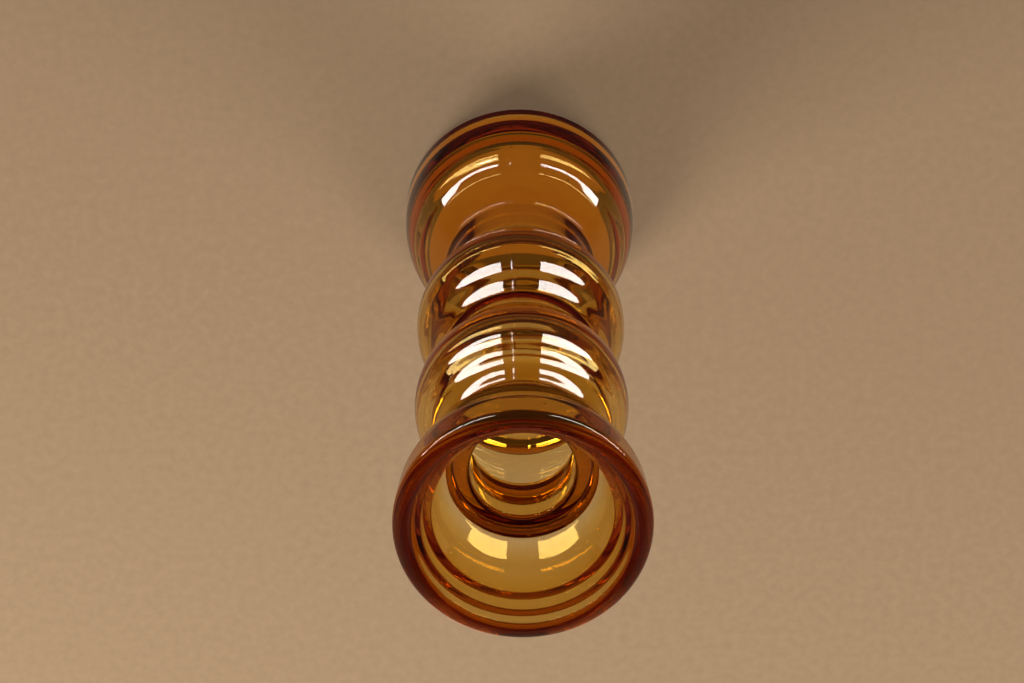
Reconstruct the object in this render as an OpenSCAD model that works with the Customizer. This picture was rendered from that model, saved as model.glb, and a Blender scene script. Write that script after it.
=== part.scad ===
// Blown amber glass candlestick: a closed hollow foot, two rounded bulges and a
// flared candle bowl, all on one axis. One continuous glass wall, modelled as four
// stacked sections that meet face to face at the narrowest rings.
// Millimetres. +Z up, origin at the centre of the foot's underside.

/* [Bulges] */
// Diameter across the widest ring of each bulge
bulge_d = 48; // [47:0.5:50]
// Height from one narrow ring to the next
bulge_pitch = 38; // [37:0.5:39]
// Slope of a bulge's flanks, measured from the axis, in degrees
flank_angle = 23.7; // [23:0.1:24]
// Radius of the rounded crest of a bulge
crest_round = 17; // [15:0.5:18]

/* [Foot] */
// Diameter of the foot at its widest
foot_d = 55; // [53:0.5:58]
// Height of the foot up to the crease below its neck
foot_h = 31.9; // [31:0.1:33]
// Height of the lowest narrow ring, where the foot meets the lower bulge
foot_neck_z = 42.6; // [42:0.1:44]
// Thickness of the glass base
base_thickness = 7; // [5:0.5:9]
// Depth of the shallow hollow under the base
base_recess = 1; // [0.5:0.1:1.5]

/* [Candle bowl] */
// Diameter across the rolled rim
rim_d = 56.4; // [55:0.2:58]
// Height of the bowl above the highest narrow ring
bowl_h = 35; // [34:0.5:36.5]
// Diameter of the straight socket that grips the candle
socket_d = 23.2; // [22.6:0.1:24]
// Depth of the straight socket below the bowl's floor
socket_depth = 15.4; // [14.5:0.1:16]

/* [Glass] */
// Wall thickness at the crest of a bulge
wall = 2.4; // [2:0.1:2.8]
// Diameter of the hole through each neck
neck_hole_d = 29.6; // [29:0.2:30.2]

/* [Hidden] */
amber = [0.72, 0.45, 0.14, 0.55];
turn_segments = 120;
arc_step = 6;
half_pitch = bulge_pitch / 2;

// Heights of the narrow rings, the crests and the top
neck_low_z = foot_neck_z;
crest_low_z = neck_low_z + half_pitch;
neck_mid_z = crest_low_z + half_pitch;
crest_high_z = neck_mid_z + half_pitch;
neck_top_z = crest_high_z + half_pitch;
rim_z = neck_top_z + bowl_h;

// Sharp corners of the bulges, before the crests and necks are rounded
neck_round = 4;
crest_corner_r = bulge_d / 2 + crest_round * (1 / cos(flank_angle) - 1);
neck_corner_r = crest_corner_r - half_pitch * tan(flank_angle);

// The hollows: steeper flanks than outside, joined by holes in thick neck rings.
// Each ring has a nearly level top that pinches the hole a little.
inner_round = 8;
inner_angle = 31.5;
inner_crest_r = bulge_d / 2 - wall + inner_round * (1 / cos(inner_angle) - 1);
hole_r = neck_hole_d / 2;
hole_above = 2.9;
hole_below = 7;
hole_round = 3;
pinch_r = hole_r - 1.2;
pinch_above = 7.9;
pinch_round = 1.2;
ring_top_r = hole_r + 3;
ring_top_above = 9.3;
ring_top_round = 2;

// Foot: nearly upright below, then a dome up to the neck; closed by a thick base
foot_r = foot_d / 2;
foot_edge_round = 1.8;
foot_lean = 5;
foot_side_z = 9;
foot_side_round = 30;
dome_z = foot_h - 11.9;
dome_r = foot_r - (dome_z - foot_side_z) * tan(foot_lean);
dome_round = 34;
crease_r = neck_corner_r + 0.67;
crease_round = 1.5;
recess_r = 19.2;
recess_edge_r = 22;
foot_wall = 3.4;
foot_corner_round = 4;
hollow_side_z = dome_z - 3.8;
hollow_side_round = 16;
hollow_dome_r = dome_r - 5.94;
hollow_dome_z = dome_z + 4.2;
hollow_dome_round = 4;
hollow_top_z = foot_h - 2.9;

// Bowl: a neck collar, a bell that opens in two slopes, and a thick rim
rim_r = rim_d / 2;
collar_z = neck_top_z + 9.1;
collar_r = neck_corner_r + 0.6;
collar_round = 1.2;
bell_z = collar_z + 3.1;
bell_r = rim_r - 4.7;
bell_round = 2.8;
bell_side_z = bell_z + 12;
bell_side_r = rim_r - 0.9;
bell_side_round = 7;
rim_corner_r = rim_r + 0.2;
rim_round = 2.6;

// Inside the bowl: two ledges below the lip, a bulging side and a flat floor
lip_r = rim_r - 4.2;
lip_round = 1.5;
upper_ledge_z = rim_z - 3.2;
upper_ledge_r = [rim_r - 4.8, rim_r - 6.2];
upper_ledge_drop = 0.1;
lower_ledge_z = rim_z - 6.7;
lower_ledge_r = [rim_r - 6.6, rim_r - 8.5];
lower_ledge_drop = 0.4;
ledge_round = 0.4;
bowl_side_z = rim_z - 16.6;
bowl_side_r = rim_r - 8.4;
bowl_side_round = 14;
floor_z = neck_top_z + 9.6;
floor_r = 16.2;
floor_round = 3;
socket_r = socket_d / 2;
socket_round = 1.2;
socket_low_z = floor_z - socket_depth;

// Shoulder of the upper hollow, just under the socket
shoulder_z = socket_low_z - 3.4;
shoulder_r = inner_crest_r - 4;
shoulder_round = 3;

// Corners are [radius, height, rounding]
outer_corners = [
  [0, base_recess, 0],
  [recess_r, base_recess, 1],
  [recess_edge_r, 0, 1],
  [foot_r, 0, foot_edge_round],
  [foot_r, foot_side_z, foot_side_round],
  [dome_r, dome_z, dome_round],
  [crease_r, foot_h, crease_round],
  [neck_corner_r, neck_low_z, neck_round],
  [crest_corner_r, crest_low_z, crest_round],
  [neck_corner_r, neck_mid_z, neck_round],
  [crest_corner_r, crest_high_z, crest_round],
  [neck_corner_r, neck_top_z, neck_round],
  [collar_r, collar_z, collar_round],
  [bell_r, bell_z, bell_round],
  [bell_side_r, bell_side_z, bell_side_round],
  [rim_corner_r, rim_z, rim_round],
];
inner_corners = [
  [lip_r, rim_z, lip_round],
  [upper_ledge_r[0], upper_ledge_z, ledge_round],
  [upper_ledge_r[1], upper_ledge_z - upper_ledge_drop, ledge_round],
  [lower_ledge_r[0], lower_ledge_z, ledge_round],
  [lower_ledge_r[1], lower_ledge_z - lower_ledge_drop, ledge_round],
  [bowl_side_r, bowl_side_z, bowl_side_round],
  [floor_r, floor_z, floor_round],
  [socket_r, floor_z, socket_round],
  [socket_r, socket_low_z, socket_round],
  [shoulder_r, shoulder_z, shoulder_round],
  [inner_crest_r, crest_high_z, inner_round],
  [ring_top_r, neck_mid_z + ring_top_above, ring_top_round],
  [pinch_r, neck_mid_z + pinch_above, pinch_round],
  [hole_r, neck_mid_z + hole_above, hole_round],
  [hole_r, neck_mid_z - hole_below, hole_round],
  [inner_crest_r, crest_low_z, inner_round],
  [ring_top_r, neck_low_z + ring_top_above, ring_top_round],
  [pinch_r, neck_low_z + pinch_above, pinch_round],
  [hole_r, neck_low_z + hole_above, hole_round],
  [hole_r, hollow_top_z, hole_round],
  [hollow_dome_r, hollow_dome_z, hollow_dome_round],
  [foot_r - foot_wall, hollow_side_z, hollow_side_round],
  [foot_r - foot_wall, base_thickness + base_recess, foot_corner_round],
  [0, base_thickness + base_recess, 0],
];
wall_corners = concat(outer_corners, inner_corners);

function unit(v) = v / norm(v);

// Points of the arc that rounds corner b between its neighbours a and c
function rounded(a, b, c, radius) =
  let (
    to_a = unit(a - b),
    to_c = unit(c - b),
    half = acos(to_a * to_c) / 2,
    reach = radius / tan(half),
    centre = b + unit(to_a + to_c) * radius / sin(half),
    from = b + to_a * reach - centre,
    to = b + to_c * reach - centre,
    side = sign(from[0] * to[1] - from[1] * to[0]),
    sweep = side * (180 - 2 * half),
    steps = max(2, ceil(abs(sweep) / arc_step))
  )
  [for (i = [0:steps]) centre + turned(from, sweep * i / steps)];

function turned(v, angle) = [
  v[0] * cos(angle) - v[1] * sin(angle),
  v[0] * sin(angle) + v[1] * cos(angle)
];

function flat(corner) = [corner[0], corner[1]];

function smooth(corners) = [
  for (i = [0:len(corners) - 1])
    each corners[i][2] == 0
      ? [flat(corners[i])]
      : rounded(flat(corners[i - 1]), flat(corners[i]), flat(corners[i + 1]), corners[i][2])
];

// The part of the glass wall between two heights
module glass_between(low_z, high_z) {
  rotate_extrude($fn = turn_segments)
    intersection() {
      polygon(smooth(wall_corners));
      translate([0, low_z])
        square([foot_d + rim_d, high_z - low_z]);
    }
}

module foot_bell() {
  color(amber)
    glass_between(0, neck_low_z);
}

module lower_bulge() {
  color(amber)
    glass_between(neck_low_z, neck_mid_z);
}

// Ends where the socket wall begins, so that the socket is all in the bowl
module upper_bulge() {
  color(amber)
    glass_between(neck_mid_z, socket_low_z);
}

module candle_bowl() {
  color(amber)
    glass_between(socket_low_z, rim_z);
}

foot_bell();
lower_bulge();
upper_bulge();
candle_bowl();
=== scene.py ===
"""Looks of the amber glass candlestick: one continuous blown glass wall on a pale floor."""

import math

import bpy
from mathutils import Matrix, Vector


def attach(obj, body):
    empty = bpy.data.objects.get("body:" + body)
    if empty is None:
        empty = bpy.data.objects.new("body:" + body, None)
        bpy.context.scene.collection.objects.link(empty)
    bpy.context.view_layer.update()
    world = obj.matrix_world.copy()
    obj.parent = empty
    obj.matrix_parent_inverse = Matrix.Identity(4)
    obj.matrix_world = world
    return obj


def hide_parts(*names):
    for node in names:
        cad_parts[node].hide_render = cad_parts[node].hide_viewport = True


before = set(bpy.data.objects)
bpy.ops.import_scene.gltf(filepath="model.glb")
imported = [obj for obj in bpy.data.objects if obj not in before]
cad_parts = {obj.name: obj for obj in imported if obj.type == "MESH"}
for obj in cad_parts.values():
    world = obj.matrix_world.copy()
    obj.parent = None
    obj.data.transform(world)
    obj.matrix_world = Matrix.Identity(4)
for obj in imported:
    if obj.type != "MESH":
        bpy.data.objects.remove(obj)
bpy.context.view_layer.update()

MM = 0.001
NODES = ["foot_bell", "lower_bulge", "upper_bulge", "candle_bowl"]

# Heights in millimetres of the narrow rings and of the bulges' crests
NECK_LOW, CREST_LOW, NECK_MID, CREST_HIGH, NECK_TOP = 42.6, 61.6, 80.6, 99.6, 118.6
HEIGHT = 153.6

# The glass wall as corners (radius, height, rounding), outside from the foot up
OUTSIDE = [
    (0, 1.0, 0),
    (19.2, 1.0, 1.0),
    (22.0, 0, 1.0),
    (27.5, 0, 1.8),
    (27.5, 9.0, 30.0),
    (26.54, 20.0, 34.0),
    (17.9, 31.9, 1.5),
    (17.23, NECK_LOW, 4.0),
    (25.57, CREST_LOW, 17.0),
    (17.23, NECK_MID, 4.0),
    (25.57, CREST_HIGH, 17.0),
    (17.23, NECK_TOP, 4.0),
    (17.83, 127.7, 1.2),
    (23.5, 130.8, 2.8),
    (27.3, 142.8, 7.0),
    (28.37, HEIGHT, 2.6),
]
# The same for the inside, from the rim down to the foot's floor
INSIDE = [
    (24.0, HEIGHT, 1.5),
    (23.4, 150.4, 0.4),
    (22.0, 150.3, 0.4),
    (21.6, 146.9, 0.4),
    (19.7, 146.5, 0.4),
    (19.8, 137.0, 14.0),
    (16.2, 128.2, 3.0),
    (11.6, 128.2, 1.2),
    (11.6, 112.8, 1.2),
    (18.98, 109.4, 3.0),
    (22.98, CREST_HIGH, 8.0),
    (17.8, 89.9, 2.0),
    (13.6, 88.5, 1.2),
    (14.8, 83.5, 3.0),
    (14.8, 73.6, 3.0),
    (22.98, CREST_LOW, 8.0),
    (17.8, 51.9, 2.0),
    (13.6, 50.5, 1.2),
    (14.8, 45.5, 3.0),
    (14.8, 29.0, 3.0),
    (20.6, 24.2, 4.0),
    (24.1, 16.2, 16.0),
    (24.1, 8.0, 4.0),
    (0, 8.0, 0),
]
# Directions about the axis, and the steps along arcs and straight runs
AROUND = 192
ARC_STEP = math.radians(5)
STEP = 0.6

# Rings the blower's mould left in the flanks: (height of one ring, spacing, depth)
OUTER_RINGS = (71.3, 5.1, 0.042)
INNER_RINGS = (69.0, 6.33, 0.09)
# They show in full where the wall leans this much or more, and nowhere on a level face
RING_SLOPE = math.tan(math.radians(20))
LEVEL_SLOPE = 1
# They start above the foot's side, and are weaker on the outside of the foot
RINGS_FROM = 12
FOOT_RINGS = 0.3
# Round ripples in the top of the thick base: (spacing, depth), and the width they fade over
BASE_RIPPLES = (3.6, 0.07)
BASE_TOP, BASE_EDGE, BASE_FADE = 8.0, 20.1, 3

# The mould's two seams: directions in degrees, height and half width in millimetres
SEAMS = (95, 275)
SEAM_HEIGHT, SEAM_WIDTH = 0.07, 0.35
# They run on the outside only, up to the bowl, and stop short of the middle of the underside
SEAM_TOP, SEAM_INNER_R = 126, 16
# Closer directions across a seam: how many each side, how far apart, and the gap beyond them
SEAM_SIDES, SEAM_STEP, SEAM_GAP = 6, 0.008, 0.01

# Small bubbles inside the wall: how many, their radii, the lowest height and the span above it
BUBBLES = 18
BUBBLE_RADII = (0.16, 0.30)
BUBBLE_LOW, BUBBLE_SPAN = 18, 128
# Each is a ball of so many sides and bands
BUBBLE_SIDES, BUBBLE_BANDS = 12, 8
# Steps that spread them evenly: a share of the height and of the sizes, and degrees about the axis
BUBBLE_CLIMB, BUBBLE_GROWTH, BUBBLE_TURN = 0.618, 0.37, 137.5

FLOOR_COLOR = (0.48, 0.33, 0.202, 1)
# The floor's half width and its height just under the foot, in metres
FLOOR_HALF, FLOOR_Z = 4, -0.00002
# The floor is two sheets that meet here, so that each can be lit and seen in its own way
FLOOR_SPLIT = 0.02
# The disc under the foot glows in this colour: painted light that brightens the foot's base seen
# through the glass
DISC_PAINTED_GLOW = (0.38, 0.19, 0.075, 1)
DISC_R, DISC_Z, DISC_SIDES = 0.021, 0.00005, 96

# The camera's place in metres, its line of sight, its upward direction and its lens
CAMERA_PLACE = (-0.0068, 0.4997, 1.0)
CAMERA_SIGHT = (0.0045, -0.4726, -0.8813)
CAMERA_UP = (0, 0.8813, -0.4726)
LENS = 161.4


def new_object(name, verts, faces):
    """A mesh object of these points and faces, in the scene."""
    mesh = bpy.data.meshes.new(name)
    mesh.from_pydata(verts, [], faces)
    piece = bpy.data.objects.new(name, mesh)
    bpy.context.scene.collection.objects.link(piece)
    return piece


def rounded_path(corners):
    """The corners as points (radius, height), each rounded by its own arc."""
    points = []
    for i, (r, z, radius) in enumerate(corners):
        b = Vector((r, z))
        if radius == 0:
            points.append(b)
            continue
        u = (Vector(corners[i - 1][:2]) - b).normalized()
        v = (Vector(corners[i + 1][:2]) - b).normalized()
        half = u.angle(v) / 2
        reach = radius / math.tan(half)
        centre = b + (u + v).normalized() * radius / math.sin(half)
        start, end = b + u * reach - centre, b + v * reach - centre
        side = 1 if start.x * end.y - start.y * end.x > 0 else -1
        sweep = side * (math.pi - 2 * half)
        steps = max(2, math.ceil(abs(sweep) / ARC_STEP))
        for k in range(steps + 1):
            turn = Matrix.Rotation(sweep * k / steps, 2)
            points.append(centre + turn @ start)
    return points


def stepped(points):
    """The path with its long straight runs cut into short steps."""
    fine = [points[0]]
    for end in points[1:]:
        start = fine[-1]
        parts = max(1, math.ceil((end - start).length / STEP))
        fine += [start.lerp(end, k / parts) for k in range(1, parts + 1)]
    return fine


def rim_index(points):
    """Place in the path of its highest point, where the outside turns into the inside."""
    return max(range(len(points)), key=lambda i: points[i].y)


def ring_depths(points):
    """For each point of the path its rings, and how strongly they show: on the flanks only."""
    top = rim_index(points)
    depths = []
    for i, (_, z) in enumerate(points):
        low, high = points[max(i - 1, 0)], points[min(i + 1, len(points) - 1)]
        rise = abs(high.y - low.y)
        slope = abs(high.x - low.x) / rise if rise > 0.01 else LEVEL_SLOPE
        rings = OUTER_RINGS if i < top else INNER_RINGS
        weight = min(1, slope / RING_SLOPE) ** 2 if slope < LEVEL_SLOPE else 0
        if z > NECK_TOP or z < RINGS_FROM:
            weight = 0
        elif z < NECK_LOW and i < top:
            weight *= FOOT_RINGS
        depths.append((rings, weight))
    return depths


def turn_angles(around):
    """Even directions about the axis, with closer ones across each seam."""
    angles = [2 * math.pi * k / around for k in range(around)]
    for seam in SEAMS:
        middle = math.radians(seam)
        near = [middle + side * SEAM_STEP for side in range(-SEAM_SIDES, SEAM_SIDES + 1)]
        start, end = near[0] - SEAM_GAP, near[-1] + SEAM_GAP
        angles = [a for a in angles if not start < a < end] + near
    return sorted(angles)


def seam_relief(angle, r, z):
    """Height of the two mould seams at this place on the outside."""
    if z > SEAM_TOP or r < SEAM_INNER_R:
        return 0
    away = min(abs(angle - math.radians(seam)) for seam in SEAMS) * r
    return SEAM_HEIGHT * math.exp(-(away / SEAM_WIDTH) ** 2)


def base_ripple(angle, r):
    """Height of the ripples in the base's top, a little oval as the glass cooled."""
    spacing, depth = BASE_RIPPLES
    fade = max(0, min(1, r / BASE_FADE, (BASE_EDGE - r) / BASE_FADE))
    oval = 0.7 * math.sin(2 * angle + 0.4)
    return fade * depth * math.sin(2 * math.pi * r / spacing + oval)


def ring_wave(angle, z, rings):
    """Height of the mould's rings at this place, each drifting a little up and down."""
    ring_z, spacing, depth = rings
    drift = 0.6 * math.sin(angle + 0.3) + 0.4 * math.sin(2 * angle + 1)
    return -depth * math.sin(2 * math.pi * ((z - ring_z) / spacing) + drift)


def wall_radius(points, z):
    """Radius of the path where it first passes the height z."""
    for low, high in zip(points, points[1:]):
        if min(low.y, high.y) <= z <= max(low.y, high.y) and low.y != high.y:
            return low.lerp(high, (z - low.y) / (high.y - low.y)).x
    return 0


def ball_points(centre, size, sides, bands):
    """Points of a ball, in metres: the bottom pole, the rings upwards and the top pole."""
    cx, cy, cz = centre
    points = [(cx * MM, cy * MM, (cz - size) * MM)]
    for band in range(1, bands):
        tilt = math.pi * band / bands
        for k in range(sides):
            turn = 2 * math.pi * k / sides
            x = cx + size * math.sin(tilt) * math.cos(turn)
            y = cy + size * math.sin(tilt) * math.sin(turn)
            points.append((x * MM, y * MM, (cz - size * math.cos(tilt)) * MM))
    return points + [(cx * MM, cy * MM, (cz + size) * MM)]


def ball_faces(first, sides, bands):
    """Faces of such a ball whose points start at first, wound so that they look inwards."""
    last = first + 1 + sides * (bands - 1)
    faces = []
    for k in range(sides):
        after = (k + 1) % sides
        faces.append([first, first + 1 + k, first + 1 + after])
        for band in range(bands - 2):
            row = first + 1 + band * sides
            up = row + sides
            faces.append([row + after, row + k, up + k, up + after])
        row = last - sides
        faces.append([row + after, row + k, last])
    return faces


def add_bubbles(verts, faces, points):
    """Tiny hollow balls half way through the wall, with their faces turned inwards."""
    top = rim_index(points)
    outside, inside = points[:top], points[top:][::-1]
    small, large = BUBBLE_RADII
    for n in range(BUBBLES):
        z = BUBBLE_LOW + BUBBLE_SPAN * ((n * BUBBLE_CLIMB + 0.1) % 1)
        angle = math.radians(n * BUBBLE_TURN + 40)
        size = small + (large - small) * ((n * BUBBLE_GROWTH) % 1)
        inner, outer = wall_radius(inside, z), wall_radius(outside, z)
        r = inner + (outer - inner) * 0.5
        centre = (r * math.cos(angle), r * math.sin(angle), z)
        faces += ball_faces(len(verts), BUBBLE_SIDES, BUBBLE_BANDS)
        verts += ball_points(centre, size, BUBBLE_SIDES, BUBBLE_BANDS)


def lathe_point(point, angle, side, rings, weight):
    """One point of the wall, in metres, with the relief of its side: outside or inside."""
    r, z = point
    relief = weight * ring_wave(angle, z, rings)
    rise = 0
    if side == "outside":
        relief += seam_relief(angle, r, z)
    elif abs(z - BASE_TOP) < 0.01:
        rise = base_ripple(angle, r)
    out = (r + relief) * MM
    return out * math.cos(angle), out * math.sin(angle), (z + rise) * MM


def lathe(name, points):
    """A closed mesh that turns the path about Z; its first and last points are on the axis."""
    verts, faces, rows = [], [], []
    angles = turn_angles(AROUND)
    around = len(angles)
    top = rim_index(points)
    for i, (point, (rings, weight)) in enumerate(zip(points, ring_depths(points))):
        first = len(verts)
        if point.x < 1e-6:
            verts.append((0, 0, point.y * MM))
            rows.append([first] * around)
            continue
        side = "outside" if i < top else "inside"
        verts += [lathe_point(point, angle, side, rings, weight) for angle in angles]
        rows.append(list(range(first, first + around)))
    for low, high in zip(rows, rows[1:]):
        for k in range(around):
            after = (k + 1) % around
            corners = [low[k], low[after], high[after], high[k]]
            faces.append(list(dict.fromkeys(corners)))
    add_bubbles(verts, faces, points)
    piece = new_object(name, verts, faces)
    piece.data.polygons.foreach_set("use_smooth", [True] * len(faces))
    piece.data.update()
    return piece


def new_material(name):
    """A node material, with its node tree and its shader."""
    mat = bpy.data.materials.new(name)
    mat.use_nodes = True
    tree = mat.node_tree
    return mat, tree, tree.nodes["Principled BSDF"]


def noise(tree, scale, detail):
    """A cloudy pattern in the object's own coordinates; gives its value's socket."""
    where = tree.nodes.new("ShaderNodeTexCoord")
    pattern = tree.nodes.new("ShaderNodeTexNoise")
    pattern.inputs["Scale"].default_value = scale
    pattern.inputs["Detail"].default_value = detail
    tree.links.new(where.outputs["Object"], pattern.inputs["Vector"])
    return pattern.outputs[0]


def glass_material():
    """Amber glass: a clear glossy surface over a volume that soaks up blue and some green."""
    mat, tree, shader = new_material("amber_glass")
    shader.inputs["Base Color"].default_value = (1, 1, 1, 1)
    shader.inputs["Transmission Weight"].default_value = 1
    shader.inputs["Roughness"].default_value = 0.035
    shader.inputs["IOR"].default_value = 1.5
    volume = tree.nodes.new("ShaderNodeVolumeAbsorption")
    volume.inputs["Color"].default_value = (0.903, 0.722, 0.0, 1)
    volume.inputs["Density"].default_value = 300
    tree.links.new(volume.outputs[0], tree.nodes["Material Output"].inputs["Volume"])
    bump = tree.nodes.new("ShaderNodeBump")
    bump.inputs["Strength"].default_value = 0.05
    bump.inputs["Distance"].default_value = 0.0006
    tree.links.new(noise(tree, 90, 2), bump.inputs["Height"])
    tree.links.new(bump.outputs[0], shader.inputs["Normal"])
    return mat


def floor_material():
    """Pale matt paper with a faint fibre mottle."""
    mat, tree, shader = new_material("pale_paper")
    shader.inputs["Roughness"].default_value = 0.9
    shader.inputs["Specular IOR Level"].default_value = 0.1
    shader.inputs["Emission Color"].default_value = FLOOR_COLOR
    shader.inputs["Emission Strength"].default_value = 0.25
    tint = tree.nodes.new("ShaderNodeMix")
    tint.data_type = "RGBA"
    r, g, b, _ = FLOOR_COLOR
    tint.inputs["A"].default_value = (r * 0.84, g * 0.84, b * 0.83, 1)
    tint.inputs["B"].default_value = (r * 1.16, g * 1.16, b * 1.17, 1)
    tree.links.new(noise(tree, 420, 8), tint.inputs["Factor"])
    tree.links.new(tint.outputs["Result"], shader.inputs["Base Color"])
    return mat


def painted_light_card_material():
    """Painted light: a warm glowing card, its glow mottled faintly."""
    mat, tree, shader = new_material("painted_glow_card")
    shader.inputs["Base Color"].default_value = (0.5, 0.35, 0.2, 1)
    shader.inputs["Roughness"].default_value = 0.9
    shader.inputs["Emission Color"].default_value = DISC_PAINTED_GLOW
    level = tree.nodes.new("ShaderNodeMapRange")
    level.inputs["To Min"].default_value = 0.9
    level.inputs["To Max"].default_value = 1.1
    tree.links.new(noise(tree, 120, 2), level.inputs["Value"])
    tree.links.new(level.outputs[0], shader.inputs["Emission Strength"])
    return mat


def floor_sheet(name, y_low, y_high, mat):
    """A level rectangle at the height of the foot's underside."""
    across = [(-FLOOR_HALF, y_low), (FLOOR_HALF, y_low), (FLOOR_HALF, y_high), (-FLOOR_HALF, y_high)]
    sheet = new_object(name, [(x, y, FLOOR_Z) for x, y in across], [(0, 1, 2, 3)])
    sheet.data.materials.append(mat)
    return sheet


def painted_light_disc():
    """A warm disc glowing in the recess under the foot: painted light that brightens the foot's base
    seen through the glass.
    """
    angles = [2 * math.pi * k / DISC_SIDES for k in range(DISC_SIDES)]
    edge = [(DISC_R * math.cos(a), DISC_R * math.sin(a), DISC_Z) for a in angles]
    disc = new_object("painted_glow_disc", edge, [range(DISC_SIDES)])
    disc.data.materials.append(painted_light_card_material())


def softbox(name, place, target, size, power, color):
    """A rectangular lamp at a place, turned to its target and unseen by the camera."""
    light = bpy.data.lights.new(name, "AREA")
    light.shape = "RECTANGLE"
    light.size, light.size_y = size
    light.energy = power
    light.color = color
    lamp = bpy.data.objects.new(name, light)
    bpy.context.scene.collection.objects.link(lamp)
    lamp.location = place
    aim = Vector(target) - Vector(place)
    lamp.rotation_euler = aim.to_track_quat("-Z", "Y").to_euler()
    lamp.visible_camera = False
    return lamp


def floor():
    """Two sheets of one paper floor; reflections miss both, and the glass shows the near one."""
    paper = floor_material()
    near = floor_sheet("floor_near", -FLOOR_HALF, FLOOR_SPLIT, paper)
    far = floor_sheet("floor_far", FLOOR_SPLIT, FLOOR_HALF, paper)
    near.visible_glossy = False
    far.visible_glossy = False
    far.visible_transmission = False


def lamps():
    """A long strip far out on each side for the highlights, and a soft lamp each for the floor."""
    for side in (-1, 1):
        strip_place = (side * 1.40, 1.33, -0.42)
        softbox("side_light", strip_place, (0, 0, 0.08), (2.1, 0.21), 27, (1, 0.95, 0.88))
        floor_place = (side * 0.38, -0.38, 0.36)
        power = 1.60 - 0.50 * side
        lamp = softbox("floor_light", floor_place, (0, -0.06, 0), (0.3, 0.3), power, (1, 0.96, 0.90))
        lamp.visible_glossy = False
        lamp.visible_transmission = False


def surroundings():
    """A studio's walls: warm and light towards -Y, darker towards +Y and upwards."""
    world = bpy.data.worlds.new("studio")
    bpy.context.scene.world = world
    world.use_nodes = True
    nodes, links = world.node_tree.nodes, world.node_tree.links
    sky = nodes["Background"]
    sky.inputs["Strength"].default_value = 1
    where = nodes.new("ShaderNodeTexCoord")
    split = nodes.new("ShaderNodeSeparateXYZ")
    upward = nodes.new("ShaderNodeMath")
    upward.operation = "MAXIMUM"
    upward.inputs[1].default_value = 0
    lean = nodes.new("ShaderNodeMath")
    lean.operation = "MULTIPLY_ADD"
    lean.inputs[1].default_value = 0.6
    shift = nodes.new("ShaderNodeMapRange")
    shift.inputs["From Min"].default_value = -1
    shift.inputs["From Max"].default_value = 1
    ramp = nodes.new("ShaderNodeValToRGB")
    warm, dark = ramp.color_ramp.elements
    warm.position, warm.color = 0.40, (0.30, 0.21, 0.13, 1)
    dark.position, dark.color = 0.56, (0.05, 0.038, 0.027, 1)
    links.new(where.outputs["Generated"], split.inputs[0])
    links.new(split.outputs["Z"], upward.inputs[0])
    links.new(upward.outputs[0], lean.inputs[0])
    links.new(split.outputs["Y"], lean.inputs[2])
    links.new(lean.outputs[0], shift.inputs["Value"])
    links.new(shift.outputs[0], ramp.inputs[0])
    links.new(ramp.outputs[0], sky.inputs["Color"])


def camera():
    """A long lens held above the rim's end, the foot furthest away at the top of the frame."""
    data = bpy.data.cameras.new("camera")
    data.lens, data.sensor_width = LENS, 36
    data.clip_start, data.clip_end = 0.05, 50
    cam = bpy.data.objects.new("camera", data)
    bpy.context.scene.collection.objects.link(cam)
    forward = Vector(CAMERA_SIGHT).normalized()
    right = forward.cross(Vector(CAMERA_UP)).normalized()
    up = right.cross(forward)
    turn = Matrix((right, up, -forward)).transposed().to_4x4()
    cam.matrix_world = Matrix.Translation(CAMERA_PLACE) @ turn
    bpy.context.scene.camera = cam


def picture_settings():
    """Plain colours, and enough bounces for light to leave the glass."""
    scene = bpy.context.scene
    scene.view_settings.view_transform = "Standard"
    scene.cycles.max_bounces = 24
    scene.cycles.transmission_bounces = 24
    scene.cycles.glossy_bounces = 16


glass = lathe("glass_body", stepped(rounded_path(OUTSIDE + INSIDE)))
glass.data.materials.append(glass_material())
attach(glass, "root")
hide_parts(*NODES)

floor()
painted_light_disc()
lamps()
surroundings()
camera()
picture_settings()
